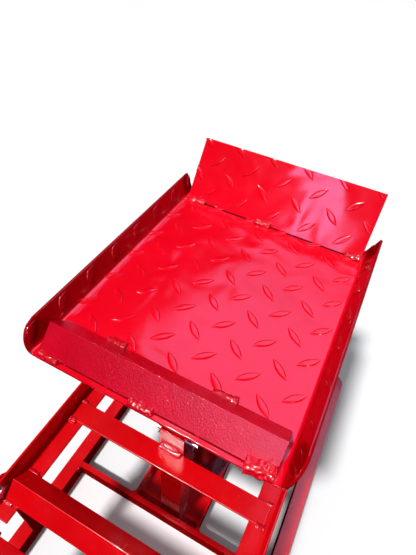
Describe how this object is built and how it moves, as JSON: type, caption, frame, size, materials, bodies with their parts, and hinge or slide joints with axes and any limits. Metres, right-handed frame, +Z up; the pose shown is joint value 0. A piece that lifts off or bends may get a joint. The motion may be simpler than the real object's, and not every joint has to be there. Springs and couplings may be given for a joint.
{
  "type": "hydraulic wheel lift ramp",
  "caption": "Checker-plate wheel tray on two telescoping square posts, raised by a bottle jack over a ladder deck with a fold-up approach ramp and a wide base frame.",
  "frame": {"origin": "on the ground under the jack's axis, on the underside of the jack seat", "axes": "+X to the right-hand side, +Y to the rear where the stop plate is, +Z up"},
  "size_m": [0.476, 1.4545, 0.643],
  "materials": {
    "tray_red": "gloss",
    "frame_red": "gloss",
    "jack_red": "gloss",
    "zinc_plate": "satin",
    "machined_steel": "satin",
    "chrome_rod": "polished",
    "black_plug": "matte"
  },
  "bodies": {
    "base_frame": {"front_sleeve": "frame_red", "rear_sleeve": "frame_red", "front_stop_pin": "zinc_plate", "rear_stop_pin": "zinc_plate", "stop_pin_cotters": "zinc_plate", "deck_rail_left": "frame_red", "deck_rail_right": "frame_red", "deck_rung_front": "frame_red", "deck_rung_rear": "frame_red", "deck_rung_entry": "frame_red", "deck_gusset_left": "frame_red", "deck_gusset_right": "frame_red", "ramp_pivot_bolts": "zinc_plate", "base_rail_left": "frame_red", "base_rail_right": "frame_red", "base_rear_bar": "frame_red", "base_front_bar": "frame_red", "seat_bar_front": "frame_red", "seat_bar_rear": "frame_red", "jack_seat": "frame_red", "jack_base": "jack_red", "jack_base_bolts": "zinc_plate", "jack_cylinder": "machined_steel", "jack_reservoir": "jack_red", "jack_filler_plug": "black_plug", "jack_top_nut": "jack_red", "jack_pump_barrel": "jack_red", "jack_lever_bracket": "jack_red", "lever_pivot_pin": "zinc_plate"},
    "lift_tray": {"tray_pan": "tray_red", "stop_plate": "tray_red", "wheel_stopper": "tray_red", "tray_ribs": "frame_red", "saddle_cup": "frame_red", "front_post": "frame_red", "rear_post": "frame_red"},
    "jack_ram": {"ram": "chrome_rod", "ram_piston": "machined_steel", "extension_screw": "machined_steel", "jack_saddle": "machined_steel"},
    "pump_lever": {"pump_lever": "jack_red", "plunger_pin": "zinc_plate"},
    "pump_plunger": {"pump_plunger": "chrome_rod"},
    "release_valve": {"release_valve": "zinc_plate"},
    "approach_ramp": {"ramp_rail_left": "frame_red", "ramp_rail_right": "frame_red", "ramp_toe_plate": "frame_red", "ramp_rung_1": "frame_red", "ramp_rung_2": "frame_red", "ramp_rung_3": "frame_red", "ramp_rung_4": "frame_red", "ramp_rung_5": "frame_red", "ramp_rung_6": "frame_red", "ramp_rung_7": "frame_red"}
  },
  "joints": [
    {"name": "tray_lift", "type": "slide", "parent": "base_frame", "child": "lift_tray", "axis": [0, 0, 1], "range_m": [-0.16, 0.04]},
    {"name": "ram_slide", "type": "slide", "parent": "base_frame", "child": "jack_ram", "axis": [0, 0, 1], "range_m": [-0.16, 0.04]},
    {"name": "pump_swing", "type": "hinge", "parent": "base_frame", "child": "pump_lever", "pos_m": [-0.05, 0, 0.122], "axis": [0, 1, 0], "range_deg": [-20, 25]},
    {"name": "plunger_slide", "type": "slide", "parent": "base_frame", "child": "pump_plunger", "axis": [0, 0, 1], "range_m": [-0.0052, 0.0064]},
    {"name": "valve_turn", "type": "hinge", "parent": "base_frame", "child": "release_valve", "pos_m": [-0.028, -0.05, 0.019], "axis": [0, -1, 0], "range_deg": [0, 270]},
    {"name": "ramp_fold", "type": "hinge", "parent": "base_frame", "child": "approach_ramp", "pos_m": [0, -0.29, 0.35], "axis": [-1, 0, 0], "range_deg": [0, 105]}
  ],
  "couplings": [
    {"joint": "ram_slide", "follows": "tray_lift", "ratio": 1},
    {"joint": "plunger_slide", "follows": "pump_swing", "m_per_rad": 0.014}
  ]
}
